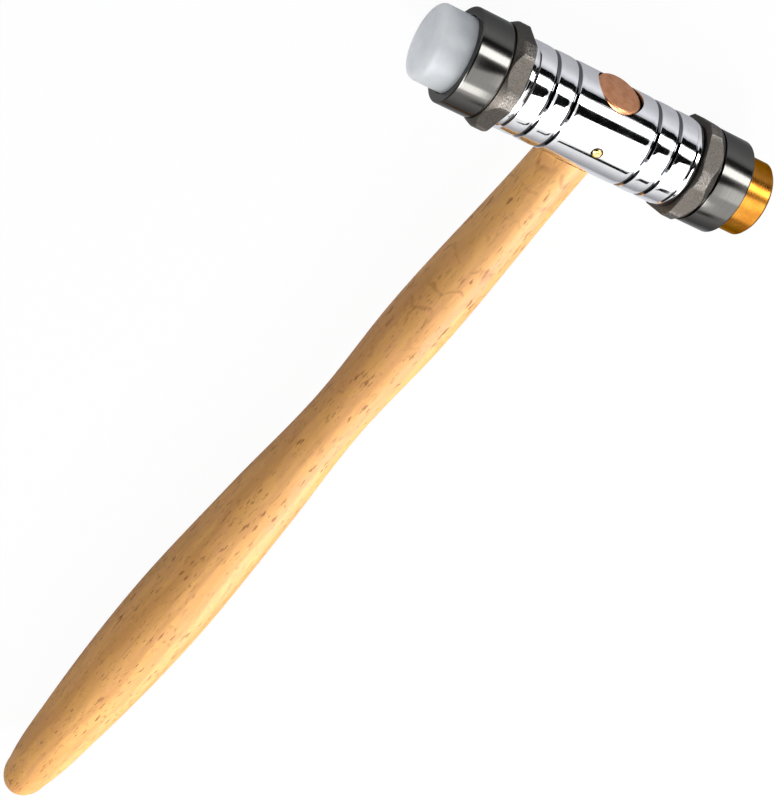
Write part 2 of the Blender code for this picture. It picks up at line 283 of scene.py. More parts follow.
def remap(tree, value, source, target):
    """Carry a value smoothly from one range to another, held at both ends."""
    ramp = add_node(tree, "MapRange")
    ramp.interpolation_type = 'SMOOTHSTEP'
    for socket, number in zip(("From Min", "From Max", "To Min", "To Max"), (*source, *target)):
        ramp.inputs[socket].default_value = number
    tree.links.new(value, ramp.inputs["Value"])
    return ramp.outputs["Result"]


def times(tree, first, second):
    """The product of two values, of which the second may be a number."""
    product = add_node(tree, "Math", 'MULTIPLY')
    tree.links.new(first, product.inputs[0])
    if isinstance(second, float):
        product.inputs[1].default_value = second
    else:
        tree.links.new(second, product.inputs[1])
    return product.outputs["Value"]


def blend(tree, mask, first, second):
    """Mix two colours by a mask; each is a colour or the output of another mix."""
    mix = add_node(tree, "Mix")
    mix.data_type = 'RGBA'
    tree.links.new(mask, mix.inputs["Factor"])
    for socket, colour in (("A_Color", first), ("B_Color", second)):
        target = next(entry for entry in mix.inputs if entry.identifier == socket)
        if isinstance(colour, tuple):
            target.default_value = (*colour, 1.0)
        else:
            tree.links.new(colour, target)
    return next(entry for entry in mix.outputs if entry.identifier == "Result_Color")


def bumped(tree, shader, height, strength, depth):
    """Drive a shader's normal by a height."""
    bump = add_node(tree, "Bump", Strength=strength, Distance=depth)
    tree.links.new(height, bump.inputs["Height"])
    tree.links.new(bump.outputs["Normal"], shader.inputs["Normal"])


def new_group(name, inputs, outputs):
    """An empty node group with named float or vector sockets."""
    group = bpy.data.node_groups.new(name, 'ShaderNodeTree')
    for label, kind in inputs:
        group.interface.new_socket(label, in_out='INPUT', socket_type=kind)
    for label, kind in outputs:
        group.interface.new_socket(label, in_out='OUTPUT', socket_type=kind)
    return group, group.nodes.new("NodeGroupInput"), group.nodes.new("NodeGroupOutput")


def use_group(tree, group, **values):
    """Place a node group in a material with its own values."""
    node = tree.nodes.new("ShaderNodeGroup")
    node.node_tree = group
    for socket, value in values.items():
        if isinstance(value, float):
            node.inputs[socket].default_value = value
        else:
            tree.links.new(value, node.inputs[socket])
    return node


turning_marks, group_in, group_out = new_group(
    "turning marks",
    (("Along", 'NodeSocketFloat'), ("Fineness", 'NodeSocketFloat')),
    (("Height", 'NodeSocketFloat'),),
)
marks = add_node(turning_marks, "TexNoise", Detail=3.0, Roughness=0.6)
marks.noise_dimensions = '1D'
turning_marks.links.new(group_in.outputs["Along"], marks.inputs["W"])
turning_marks.links.new(group_in.outputs["Fineness"], marks.inputs["Scale"])
turning_marks.links.new(marks.outputs[0], group_out.inputs["Height"])

smudges, group_in, group_out = new_group(
    "smudges",
    (("Vector", 'NodeSocketVector'), ("Fineness", 'NodeSocketFloat')),
    (("Mask", 'NodeSocketFloat'),),
)
cloud = add_node(smudges, "TexNoise", Detail=4.0, Roughness=0.55, Distortion=0.3)
smudges.links.new(group_in.outputs["Vector"], cloud.inputs["Vector"])
smudges.links.new(group_in.outputs["Fineness"], cloud.inputs["Scale"])
cloud_mask = remap(smudges, cloud.outputs[0], CLOUD_RANGE, NONE_TO_FULL)
smudges.links.new(cloud_mask, group_out.inputs["Mask"])


def tool_marks(tree, spot, fineness):
    """The height of the fine lines that a turning tool leaves around the head."""
    along = axis_part(tree, spot, "X")
    return use_group(tree, turning_marks, Along=along, Fineness=fineness).outputs["Height"]


def clouded(tree, spot, fineness):
    """A mask of soft cloudy smudges."""
    return use_group(tree, smudges, Vector=spot, Fineness=fineness).outputs["Mask"]


def barrel_half():
    """The barrel's outline from the countersink at its end to its middle."""
    lip_back = BARREL_END - LIP_LENGTH
    corners = [
        (0.0, TAP_FLOOR, 0.0),
        (TAP_RADIUS, TAP_FLOOR, 0.0),
        (TAP_RADIUS, BARREL_END - SINK_RADIUS + TAP_RADIUS, 0.0),
        (SINK_RADIUS, BARREL_END, 0.0),
        (LIP_RADIUS, BARREL_END, LIP_EDGE),
        (LIP_RADIUS, lip_back, LIP_BACK_EDGE),
        (NOTCH_RADIUS, lip_back - NOTCH_FLANK, NOTCH_ROUND),
        (BARREL_RADIUS, lip_back - 2 * NOTCH_FLANK, NOTCH_EDGE),
    ]
    groove_floor = BARREL_RADIUS - GROOVE_DEPTH
    for middle in GROOVE_PLACES:
        outer = middle + GROOVE_WIDTH / 2
        inner = middle - GROOVE_WIDTH / 2
        corners += [
            (BARREL_RADIUS, outer + SHOULDER_LENGTH, SHOULDER_ROUND),
            (BARREL_RADIUS - SHOULDER_DROP, outer, GROOVE_EDGE),
            (groove_floor, middle + GROOVE_FLOOR_WIDTH / 2, GROOVE_ROUND),
            (groove_floor, middle - GROOVE_FLOOR_WIDTH / 2, GROOVE_ROUND),
            (BARREL_RADIUS - SHOULDER_DROP, inner, GROOVE_EDGE),
            (BARREL_RADIUS, inner - SHOULDER_LENGTH, SHOULDER_ROUND),
        ]
    return corners


def mirrored(corners):
    """The same corners for the other end of the barrel, in the order that carries on from the middle."""
    return [(radius, -along, fillet) for radius, along, fillet in reversed(corners)]


def rod_outline(radius, bottom, top):
    """The outline of a plain rod."""
    return [Vector((0.0, top)), Vector((radius, top)), Vector((radius, bottom)), Vector((0.0, bottom))]


half = barrel_half()
barrel = turn("barrel", rounded(half + mirrored(half)), ALONG_HEAD, ALONG_PIN)
bore_reach = 2 * BARREL_RADIUS
eye_outline = rod_outline(EYE_RADIUS, -bore_reach, bore_reach)
combine(barrel, turn("eye bore", eye_outline, ALONG_HANDLE, ALONG_HEAD), 'DIFFERENCE')
pin_hole_outline = rod_outline(PIN_HOLE_RADIUS, -bore_reach, bore_reach)
combine(barrel, turn("pin bore", pin_hole_outline, ALONG_PIN, ALONG_HEAD, THREAD_STEPS), 'DIFFERENCE')
tap_root = TAP_RADIUS + THREAD_SINK
for outward in (ALONG_HEAD, -ALONG_HEAD):
    join(barrel, thread_coil("tapped thread", outward, tap_root, TAP_CREST, TAP_FLOOR, BARREL_END))

chrome, tree, shader = new_material("chrome plate")
spot = place(tree)
dulled = clouded(tree, spot, CHROME_CLOUD_FINENESS)
lines = tool_marks(tree, spot, CHROME_MARK_FINENESS)
# The grooves' floors are painted dark as shade, except for a narrow strip where they face straight up or
# down, which is left plain.
recess_radii = (BARREL_RADIUS - RECESS_BOTTOM, BARREL_RADIUS - RECESS_TOP)
sunk = remap(tree, distance_off_axis(tree, spot), recess_radii, FULL_TO_NONE)
between_lips = remap(tree, absolute(tree, axis_part(tree, spot, "X")), RECESS_ENDS, FULL_TO_NONE)
off_unshaded_strip = remap(tree, absolute(tree, axis_part(tree, spot, "Y")), UNSHADED_STRIP_REACH, NONE_TO_FULL)
painted_groove_shade = times(tree, times(tree, sunk, between_lips), off_unshaded_strip)
plate = blend(tree, dulled, CHROME, CHROME_DULL)
tree.links.new(blend(tree, painted_groove_shade, plate, CHROME_PAINTED_GROOVE_SHADE), shader.inputs["Base Color"])
tree.links.new(remap(tree, dulled, NONE_TO_FULL, CHROME_ROUGHNESS), shader.inputs["Roughness"])
bumped(tree, shader, lines, CHROME_MARK_STRENGTH, CHROME_MARK_DEPTH)
shader.inputs["Metallic"].default_value = 1.0
shade(barrel, chrome)
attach(barrel, "head")
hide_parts("head_barrel")

# Face holders
# Hexagon bar turned down to a plain sleeve in front of a spanner collar, blackened and left satin.
# Each has a cup for its face in front, and a threaded stud behind that screws into the barrel.
holder_low, holder_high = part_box("brass_holder")
RIM = holder_high.x - HEAD.x
STUD_TIP = holder_low.x - HEAD.x
CUP_RADIUS = 0.0075
CUP_FLOOR = 0.0226
SLEEVE_RADIUS = 0.0093
SLEEVE_BACK = 0.0234
RIM_EDGE = 0.0004
RELIEF_RADIUS = 0.0088
COLLAR_FRONT = 0.0229
COLLAR_BACK = 0.0192
COLLAR_RADIUS = 0.0102
COLLAR_CHAMFER = 0.0015
COLLAR_BREAK = 0.00012
FLAT_REACH = 0.0094
STUD_RADIUS = 0.00485
STUD_ROOT = 0.00405
STUD_END_EDGE = 0.0004
THREAD_TOP = 0.0177
NYLON_FLAT_ANGLE = math.radians(48.6)
BRASS_FLAT_ANGLE = math.radians(32.0)
HEXAGON = 6
FLAT_TURN = math.tau / HEXAGON
FLAT_EDGE_ANGLE = 18.0
RING_GROWTH = 2.0
DARK_NICKEL = (0.115, 0.112, 0.105)
NICKEL_EDGE = (0.62, 0.62, 0.62)
COLLAR_DARK = (0.075, 0.069, 0.062)
COLLAR_WORN = (0.150, 0.132, 0.114)
COLLAR_RUBBED = (0.36, 0.335, 0.305)
RUBBED_RADII = (0.0098, 0.01025)
RUBBED_SHARE = (0.0, 0.9)
COLLAR_MOTTLE_FINENESS = 4500.0
NICKEL_LINE = (0.075, 0.072, 0.068)
NICKEL_LINE_HEIGHTS = (0.45, 0.75)
NICKEL_LINE_SHARE = (0.0, 0.6)
NICKEL_ROUGHNESS = (0.15, 0.46)
NICKEL_MARK_FINENESS = 7000.0
NICKEL_MARK_STRENGTH = 0.12
NICKEL_MARK_DEPTH = 0.00004


def holder_outline():
    """Cup, rim, sleeve, relief groove and collar, and the stud's neck behind."""
    return rounded([
        (0.0, CUP_FLOOR, 0.0),
        (CUP_RADIUS, CUP_FLOOR, 0.0),
        (CUP_RADIUS, RIM, RIM_EDGE / 2),
        (SLEEVE_RADIUS, RIM, RIM_EDGE),
        (SLEEVE_RADIUS, SLEEVE_BACK, COLLAR_BREAK),
        (RELIEF_RADIUS, SLEEVE_BACK, 0.0),
        (RELIEF_RADIUS, COLLAR_FRONT, 0.0),
        (SLEEVE_RADIUS, COLLAR_FRONT, 0.0),
        (COLLAR_RADIUS, COLLAR_FRONT - COLLAR_CHAMFER, COLLAR_BREAK),
        (COLLAR_RADIUS, COLLAR_BACK, COLLAR_BREAK),
        (STUD_ROOT, COLLAR_BACK, 0.0),
        (STUD_ROOT, STUD_TIP, STUD_END_EDGE),
        (0.0, STUD_TIP, 0.0),
    ])


def flats_ring(outward, flat_angle):
    """A thick plate with a hexagonal hole, whose walls are the collar's flats."""
    hole_corner = FLAT_REACH / math.cos(FLAT_TURN / 2)
    back = COLLAR_BACK - COLLAR_BREAK
    front = (COLLAR_FRONT + SLEEVE_BACK) / 2
    bpy.ops.object.select_all(action='DESELECT')
    bpy.ops.mesh.primitive_circle_add(vertices=HEXAGON, radius=hole_corner, location=(0.0, 0.0, 0.0))
    ring = bpy.context.object
    ring.name = "flats"
    bpy.ops.object.mode_set(mode='EDIT')
    bpy.ops.mesh.extrude_edges_move()
    bpy.ops.transform.resize(value=(RING_GROWTH, RING_GROWTH, RING_GROWTH), center_override=(0.0, 0.0, 0.0))
    bpy.ops.mesh.select_all(action='SELECT')
    bpy.ops.mesh.extrude_region_move(TRANSFORM_OT_translate={"value": (0.0, 0.0, front - back)})
    bpy.ops.object.mode_set(mode='OBJECT')
    # The circle's first corner lies on its Y axis, half a flat's turn away from a flat.
    to_head = Matrix.Rotation(math.radians(90), 4, 'Y')
    spun = Matrix.Rotation(flat_angle + FLAT_TURN / 2, 4, 'X')
    start = back if outward.x > 0 else -front
    ring.matrix_world = Matrix.Translation(HEAD + ALONG_HEAD * start) @ spun @ to_head
    bpy.ops.object.transform_apply(location=True, rotation=True)
    close_up(ring)
    return ring


def make_holder(name, outward, flat_angle):
    """A holder that is turned, cut to six flats at the given angle, and threaded on its stud."""
    holder = turn(name, holder_outline(), outward, ALONG_PIN)
    combine(holder, flats_ring(outward, flat_angle), 'DIFFERENCE')
    coil_base = STUD_ROOT - THREAD_SINK
    join(holder, thread_coil("stud thread", outward, coil_base, STUD_RADIUS, STUD_TIP, THREAD_TOP))
    return holder


nylon_holder = make_holder("nylon_face_holder", -ALONG_HEAD, NYLON_FLAT_ANGLE)
brass_holder = make_holder("brass_face_holder", ALONG_HEAD, BRASS_FLAT_ANGLE)

nickel, tree, shader = new_material("satin black nickel")
spot = place(tree)
from_middle = absolute(tree, axis_part(tree, spot, "X"))
on_collar = remap(tree, from_middle, (COLLAR_FRONT, SLEEVE_BACK), FULL_TO_NONE)
mottle = clouded(tree, spot, COLLAR_MOTTLE_FINENESS)
lines = tool_marks(tree, spot, NICKEL_MARK_FINENESS)
collar = blend(tree, mottle, COLLAR_DARK, COLLAR_WORN)
rubbed = remap(tree, distance_off_axis(tree, spot), RUBBED_RADII, RUBBED_SHARE)
collar = blend(tree, times(tree, rubbed, mottle), collar, COLLAR_RUBBED)
worn = blend(tree, on_collar, DARK_NICKEL, collar)
line_mask = remap(tree, lines, NICKEL_LINE_HEIGHTS, NICKEL_LINE_SHARE)
tree.links.new(blend(tree, line_mask, worn, NICKEL_LINE), shader.inputs["Base Color"])
tree.links.new(remap(tree, on_collar, NONE_TO_FULL, NICKEL_ROUGHNESS), shader.inputs["Roughness"])
bumped(tree, shader, lines, NICKEL_MARK_STRENGTH, NICKEL_MARK_DEPTH)
shader.inputs["Metallic"].default_value = 1.0
shader.inputs["Specular Tint"].default_value = (*NICKEL_EDGE, 1.0)
for holder, body, node in (
    (nylon_holder, "nylon_screw", "nylon_holder"),
    (brass_holder, "brass_screw", "brass_holder"),
):
    shade(holder, nickel, FLAT_EDGE_ANGLE)
    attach(holder, body)
    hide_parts(node)

# Nylon face
# A short rod of white nylon with a rounded striking edge, pushed into its holder's cup.
nylon_low, nylon_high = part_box("nylon_face")
FACE_FRONT = HEAD.x - nylon_low.x
FACE_BACK = HEAD.x - nylon_high.x
FACE_RADIUS = 0.00735
NYLON_EDGE = 0.0011
FACE_BACK_EDGE = 0.0005
NYLON_WHITE = (0.68, 0.715, 0.74)
NYLON_CLOUD = (0.62, 0.655, 0.69)
NYLON_CLOUD_FINENESS = 260.0
NYLON_SCATTER = (1.0, 1.0, 1.0)
NYLON_SCATTER_DEPTH = 0.012
NYLON_ROUGHNESS = (0.38, 0.5)
NYLON_MARK_FINENESS = 3500.0
NYLON_MARK_STRENGTH = 0.08
NYLON_MARK_DEPTH = 0.00003
MARK_HEIGHTS = (0.3, 0.7)


def face_outline(front_edge):
    """A rod from its striking face to its back, with the given corners at its front edge."""
    return rounded([
        (0.0, FACE_FRONT, 0.0),
        *front_edge,
        (FACE_RADIUS, FACE_BACK, FACE_BACK_EDGE),
        (0.0, FACE_BACK, 0.0),
    ])


nylon_edge = [(FACE_RADIUS, FACE_FRONT, NYLON_EDGE)]
nylon_face = turn("nylon_face_rod", face_outline(nylon_edge), -ALONG_HEAD, ALONG_PIN)
nylon, tree, shader = new_material("white nylon")
spot = place(tree)
cloudy = clouded(tree, spot, NYLON_CLOUD_FINENESS)
lines = tool_marks(tree, spot, NYLON_MARK_FINENESS)
tree.links.new(blend(tree, cloudy, NYLON_WHITE, NYLON_CLOUD), shader.inputs["Base Color"])
tree.links.new(remap(tree, lines, MARK_HEIGHTS, NYLON_ROUGHNESS), shader.inputs["Roughness"])
bumped(tree, shader, lines, NYLON_MARK_STRENGTH, NYLON_MARK_DEPTH)
shader.inputs["Subsurface Weight"].default_value = 1.0
shader.inputs["Subsurface Radius"].default_value = NYLON_SCATTER
shader.inputs["Subsurface Scale"].default_value = NYLON_SCATTER_DEPTH
shade(nylon_face, nylon)
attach(nylon_face, "nylon_insert")
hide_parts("nylon_face")

# Brass face
# A short turned rod of yellow brass with a chamfered striking edge, pushed into its holder's cup.
BRASS_CHAMFER = 0.0006
BRASS_BREAK = 0.00015
BRASS_YELLOW = (0.40, 0.175, 0.0245)
BRASS_BROWN = (0.36, 0.125, 0.016)
BRASS_EDGE = (0.60, 0.45, 0.25)
BRASS_CLOUD_FINENESS = 380.0
BRASS_ROUGHNESS = (0.18, 0.28)
BRASS_MARK_FINENESS = 8000.0
BRASS_MARK_STRENGTH = 0.12
BRASS_MARK_DEPTH = 0.00004


def brass_finish(name, bright, tarnished):
    """Turned brass with fine tool marks, clouded from a bright tone to a tarnished one."""
    brass, tree, shader = new_material(name)
    spot = place(tree)
    tarnish = clouded(tree, spot, BRASS_CLOUD_FINENESS)
    lines = tool_marks(tree, spot, BRASS_MARK_FINENESS)
    tree.links.new(blend(tree, tarnish, bright, tarnished), shader.inputs["Base Color"])
    tree.links.new(remap(tree, lines, MARK_HEIGHTS, BRASS_ROUGHNESS), shader.inputs["Roughness"])
    bumped(tree, shader, lines, BRASS_MARK_STRENGTH, BRASS_MARK_DEPTH)
    shader.inputs["Metallic"].default_value = 1.0
    shader.inputs["Specular Tint"].default_value = (*BRASS_EDGE, 1.0)
    return brass


brass_edge = [
    (FACE_RADIUS - BRASS_CHAMFER, FACE_FRONT, BRASS_BREAK),
    (FACE_RADIUS, FACE_FRONT - BRASS_CHAMFER, BRASS_BREAK),
]
brass_face = turn("brass_face_rod", face_outline(brass_edge), ALONG_HEAD, ALONG_PIN)
shade(brass_face, brass_finish("turned brass", BRASS_YELLOW, BRASS_BROWN))
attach(brass_face, "brass_insert")
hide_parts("brass_face")

# Handle
# A stick of beech turned to a slim neck, a small swell and a full grip, sanded and lightly lacquered.
# Its neck is hollowed to sit on the barrel, and a tenon runs up through the barrel's eye.
handle_low, handle_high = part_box("handle")
HANDLE_REACH = HEAD.y - handle_low.y
TENON_TOP = handle_high.y - HEAD.y
TENON_RADIUS = 0.0047
# The stations of the turned side, each with its distance below the head's axis and its radius.
NECK = (0.0087, 0.0054)
SWELL = (0.060, 0.0067)
WAIST = (0.088, 0.00595)
SHOULDER = (0.125, 0.0077)
GRIP = (0.168, 0.0091)
TAPER = (0.215, 0.0076)
HEEL = (0.239, 0.00555)
HEEL_STEEPNESS = 2.0
SEAT_GAP = 0.00008
SIDE_STEPS = 14
HEEL_STEPS = 20
BEECH = (0.92, 0.475, 0.13)
BEECH_BAND = (0.76, 0.365, 0.09)
BEECH_BLUSH = (0.84, 0.40, 0.135)
BEECH_RING = (0.66, 0.29, 0.075)
BEECH_CURL = (0.56, 0.235, 0.055)
BEECH_HAIR = (0.58, 0.25, 0.065)
BEECH_PORE = (0.50, 0.20, 0.05)
BEECH_RAY = (0.34, 0.115, 0.022)
BEECH_ROUGHNESS = (0.54, 0.7)
FIGURE_FINENESS = (240.0, 28.0)
FIGURE_RANGE = (0.35, 0.7)
BLUSH_FINENESS = (420.0, 170.0)
BLUSH_RANGE = (0.45, 0.65)
BLUSH_SHARE = (0.0, 0.7)
RING_FINENESS = (70.0, 16.0)
RING_RANGE = (0.6, 1.0)
RING_SHARE = (0.0, 0.5)
HAIR_FINENESS = (2600.0, 30.0)
HAIR_RANGE = (0.60, 0.72)
HAIR_SHARE = (0.0, 0.5)
CURL_FINENESS = (90.0, 45.0)
CURL_RANGE = (0.90, 1.0)
CURL_GAP_FINENESS = (260.0, 160.0)
CURL_GAP_RANGE = (0.42, 0.62)
CURL_SHARE = (0.0, 0.7)
CURL_REACH = (-0.075, -0.045)
FLECK_SOFTNESS = 0.06
PATCH_WIDTH = 9
PATCH_LENGTH = 4
PATCH_RANGE = (0.40, 0.56)
PATCH_SHARE = (0.25, 1.0)
PORE_FINENESS = (2400.0, 400.0)
PORE_RARITY = 0.59
PORE_SHARE = 0.6
RAY_FINENESS = (1500.0, 230.0)
RAY_RARITY = 0.62
RAY_SHARE = 0.85
RAY_DENT_STRENGTH = -0.15
RAY_DENT_DEPTH = 0.0001


def handle_side():
    """The turned side as (radius, distance below the head), smooth through its stations."""
    stations = [NECK, SWELL, WAIST, SHOULDER, GRIP, TAPER, HEEL]
    slopes = [0.0]
    for before, here, after in zip(stations, stations[1:], stations[2:]):
        rise_before = (here[1] - before[1]) / (here[0] - before[0])
        rise_after = (after[1] - here[1]) / (after[0] - here[0])
        # The side runs level where it turns, at the swell, the waist and the grip.
        turns = rise_before * rise_after <= 0
        slopes.append(0.0 if turns else (rise_before + rise_after) / 2)
    slopes.append(HEEL_STEEPNESS * (HEEL[1] - TAPER[1]) / (HEEL[0] - TAPER[0]))
    side = [Vector((0.0, 0.0)), Vector((NECK[1], 0.0))]
    for i in range(len(stations) - 1):
        (start, start_radius), (end, end_radius) = stations[i], stations[i + 1]
        length = end - start
        for step in range(SIDE_STEPS):
            u = step / SIDE_STEPS
            radius = (
                (2 * u**3 - 3 * u**2 + 1) * start_radius
                + (u**3 - 2 * u**2 + u) * length * slopes[i]
                + (3 * u**2 - 2 * u**3) * end_radius
                + (u**3 - u**2) * length * slopes[i + 1]
            )
            side.append(Vector((radius, start + u * length)))
    heel_length = HANDLE_REACH - HEEL[0]
    for step in range(HEEL_STEPS):
        turned = math.radians(90) * step / HEEL_STEPS
        side.append(Vector((HEEL[1] * math.cos(turned), HEEL[0] + heel_length * math.sin(turned))))
    side.append(Vector((0.0, HANDLE_REACH)))
    return side


handle = turn("beech_handle", handle_side(), -ALONG_HANDLE, ALONG_HEAD)
seat_outline = rod_outline(BARREL_RADIUS + SEAT_GAP, -BARREL_END, BARREL_END)
combine(handle, turn("seat", seat_outline, ALONG_HEAD, ALONG_PIN), 'DIFFERENCE')
tenon_outline = rod_outline(TENON_RADIUS, -2 * BARREL_RADIUS, TENON_TOP)
combine(handle, turn("tenon", tenon_outline, ALONG_HANDLE, ALONG_HEAD), 'UNION')


def grain(tree, spot, kind, fineness, **values):
    """A texture stretched along the handle, with its fineness across and along the grain in 1/m."""
    across, along = fineness
    stretched = add_node(tree, "Mapping", Scale=(across, along, across))
    tree.links.new(spot, stretched.inputs["Vector"])
    texture = add_node(tree, kind, Scale=1.0, **values)
    tree.links.new(stretched.outputs["Vector"], texture.inputs["Vector"])
    return texture


def flecks(tree, spot, fineness, rarity):
    """Short ragged dashes along the grain, mostly in patches, and the fewer the higher the rarity."""
    across, along = fineness
    dashes = grain(tree, spot, "TexNoise", fineness, Detail=2.0, Roughness=0.5, Distortion=0.15)
    patches = grain(tree, spot, "TexNoise", (across / PATCH_WIDTH, along / PATCH_LENGTH))
    dash_mask = remap(tree, dashes.outputs[0], (rarity, rarity + FLECK_SOFTNESS), NONE_TO_FULL)
    return times(tree, dash_mask, remap(tree, patches.outputs[0], PATCH_RANGE, PATCH_SHARE))


beech, tree, shader = new_material("lacquered beech")
spot = place(tree)
figure = grain(tree, spot, "TexNoise", FIGURE_FINENESS, Detail=4.0, Roughness=0.6, Distortion=0.6)
tone = remap(tree, figure.outputs[0], FIGURE_RANGE, NONE_TO_FULL)
blotches = grain(tree, spot, "TexNoise", BLUSH_FINENESS, Detail=3.0, Distortion=0.8)
blush = remap(tree, blotches.outputs[0], BLUSH_RANGE, BLUSH_SHARE)
rings = grain(tree, spot, "TexWave", RING_FINENESS, Distortion=5.0, Detail=3.0, Detail_Scale=1.4)
ring_mask = remap(tree, rings.outputs["Fac"], RING_RANGE, RING_SHARE)
hairs = grain(tree, spot, "TexNoise", HAIR_FINENESS, Detail=2.0)
hair_mask = remap(tree, hairs.outputs[0], HAIR_RANGE, HAIR_SHARE)
# The curls are thin broken lines across the grain, only on the neck below the head.
curls = grain(tree, spot, "TexWave", CURL_FINENESS, Distortion=5.0, Detail=1.0, Detail_Scale=2.6)
curls.bands_direction = 'Y'
gaps = grain(tree, spot, "TexNoise", CURL_GAP_FINENESS, Detail=2.0)
unbroken = remap(tree, gaps.outputs[0], CURL_GAP_RANGE, CURL_SHARE)
curl_lines = times(tree, remap(tree, curls.outputs["Fac"], CURL_RANGE, NONE_TO_FULL), unbroken)
under_head = remap(tree, axis_part(tree, spot, "Y"), CURL_REACH, NONE_TO_FULL)
curl_mask = times(tree, curl_lines, under_head)
pores = flecks(tree, spot, PORE_FINENESS, PORE_RARITY)
rays = flecks(tree, spot, RAY_FINENESS, RAY_RARITY)
colour = blend(tree, tone, BEECH, BEECH_BAND)
colour = blend(tree, blush, colour, BEECH_BLUSH)
colour = blend(tree, ring_mask, colour, BEECH_RING)
colour = blend(tree, hair_mask, colour, BEECH_HAIR)
colour = blend(tree, curl_mask, colour, BEECH_CURL)
colour = blend(tree, times(tree, pores, PORE_SHARE), colour, BEECH_PORE)
colour = blend(tree, times(tree, rays, RAY_SHARE), colour, BEECH_RAY)
tree.links.new(colour, shader.inputs["Base Color"])
tree.links.new(remap(tree, rays, NONE_TO_FULL, BEECH_ROUGHNESS), shader.inputs["Roughness"])
bumped(tree, shader, rays, RAY_DENT_STRENGTH, RAY_DENT_DEPTH)
shade(handle, beech)
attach(handle, "head")
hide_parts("handle")

# Cross pin
# A brass pin driven through the barrel and the tenon, with a small domed and dimpled end standing proud.
PIN_RADIUS = 0.0010
PIN_PROUD = 0.0004
PIN_DOME = 0.0004
PIN_DIMPLE = 0.0003
PIN_DIMPLE_RADIUS = 0.0004
PIN_DIMPLE_EDGE = 0.0001
PIN_YELLOW = (0.82, 0.58, 0.28)
PIN_BROWN = (0.66, 0.40, 0.15)

pin_top = BARREL_RADIUS + PIN_PROUD
pin_outline = rounded([
    (0.0, pin_top - PIN_DIMPLE, 0.0),
    (PIN_DIMPLE_RADIUS, pin_top, PIN_DIMPLE_EDGE),
    (PIN_RADIUS, pin_top, PIN_DOME),
    (PIN_RADIUS, -BARREL_RADIUS, 0.0),
    (0.0, -BARREL_RADIUS, 0.0),
])
pin = turn("cross_pin", pin_outline, ALONG_PIN, ALONG_HEAD, THREAD_STEPS)
shade(pin, brass_finish("pale brass", PIN_YELLOW, PIN_BROWN))
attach(pin, "head")
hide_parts("handle_pin")

# Eye plug
# A copper disc that closes the eye on top of the head, with its edge broken by a small chamfer.
# A short tapered shank under it is driven into the tenon and spreads it in the eye.
plug_low, plug_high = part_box("eye_plug")
PLUG_TOP = plug_high.y - HEAD.y
SHANK_TIP = plug_low.y - HEAD.y
PLUG_RADIUS = 0.00486
PLUG_THICKNESS = 0.0020
PLUG_EDGE = 0.0004
SHANK_TOP_RADIUS = 0.0020
SHANK_TIP_RADIUS = 0.0012
COPPER = (0.78, 0.36, 0.18)
COPPER_BROWN = (0.60, 0.26, 0.125)
COPPER_CLOUD_FINENESS = 700.0
COPPER_ROUGHNESS = (0.34, 0.46)
COPPER_MARK_FINENESS = 9000.0
COPPER_MARK_STRENGTH = 0.1
COPPER_MARK_DEPTH = 0.00003

plug_under = PLUG_TOP - PLUG_THICKNESS
plug_outline = rounded([
    (0.0, PLUG_TOP, 0.0),
    (PLUG_RADIUS, PLUG_TOP, PLUG_EDGE),
    (PLUG_RADIUS, plug_under, 0.0),
    (SHANK_TOP_RADIUS, plug_under, 0.0),
    (SHANK_TIP_RADIUS, SHANK_TIP, 0.0),
    (0.0, SHANK_TIP, 0.0),
])
plug = turn("copper_plug", plug_outline, ALONG_HANDLE, ALONG_HEAD)
copper, tree, shader = new_material("satin copper")
spot = place(tree)
tarnish = clouded(tree, spot, COPPER_CLOUD_FINENESS)
lines = tool_marks(tree, spot, COPPER_MARK_FINENESS)
tree.links.new(blend(tree, tarnish, COPPER, COPPER_BROWN), shader.inputs["Base Color"])
tree.links.new(remap(tree, tarnish, NONE_TO_FULL, COPPER_ROUGHNESS), shader.inputs["Roughness"])
bumped(tree, shader, lines, COPPER_MARK_STRENGTH, COPPER_MARK_DEPTH)
shader.inputs["Metallic"].default_value = 1.0
shade(plug, copper)
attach(plug, "head")
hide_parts("eye_plug")

# Camera
# A long lens above the head's nylon side, rolled so that the handle runs down to the left.
CAMERA_FROM_HEAD = Vector((-0.17548, 0.20670, 0.32436))
LOOKING = Vector((0.3865, -0.6128, -0.6893))
IMAGE_UP = Vector((-0.3555, 0.5906, -0.7244))
LENS = 103.5
SENSOR_WIDTH = 36.0
CLIP_START = 0.01

bpy.ops.object.camera_add(location=HEAD + CAMERA_FROM_HEAD)
camera = bpy.context.object
behind = -LOOKING.normalized()
right = IMAGE_UP.cross(behind).normalized()
upward = behind.cross(right)
camera.rotation_euler = Matrix((right, upward, behind)).transposed().to_euler()
camera.data.lens = LENS
camera.data.sensor_width = SENSOR_WIDTH
camera.data.clip_start = CLIP_START
scene.camera = camera

# Floor and background
# A sheet of white paper that glows white for the camera, around the shadow, and glows in the metal too.
# The room around it shows in the metal alone: grey walls, a white ceiling, and dark beyond the head's ends.
# In the metal alone the paper shows a painted shadow in front of the head, fading away from it, and painted
# shade far off.
FLOOR_SIZE = 6.0
FLOOR_WHITE = (0.74, 0.75, 0.78)
FLOOR_BRIGHT = (0.90, 0.91, 0.95)
FLOOR_SHADED = (0.50, 0.51, 0.54)
FLOOR_DISTANT = (0.33, 0.34, 0.36)
FLOOR_GLOW = 0.965
FLOOR_GLOW_IN_METAL = 0.85
FLOOR_FRONT_EDGE = (0.0, 0.004)
FLOOR_LIGHTENING = (0.006, 0.05)
FLOOR_FADING = (0.02, 0.16)
HORIZON_GREY = (0.42, 0.42, 0.44)
ZENITH_WHITE = (1.0, 1.0, 1.0)
SIDE_DARK = (0.03, 0.03, 0.033)
WALL_RISE = (0.0, 0.65)
CEILING_STEEPNESS = (0.85, 0.95)
BRASS_SIDE = (0.6, 0.85)
NYLON_SIDE = (-0.35, -0.15)
AMBIENT = 0.11


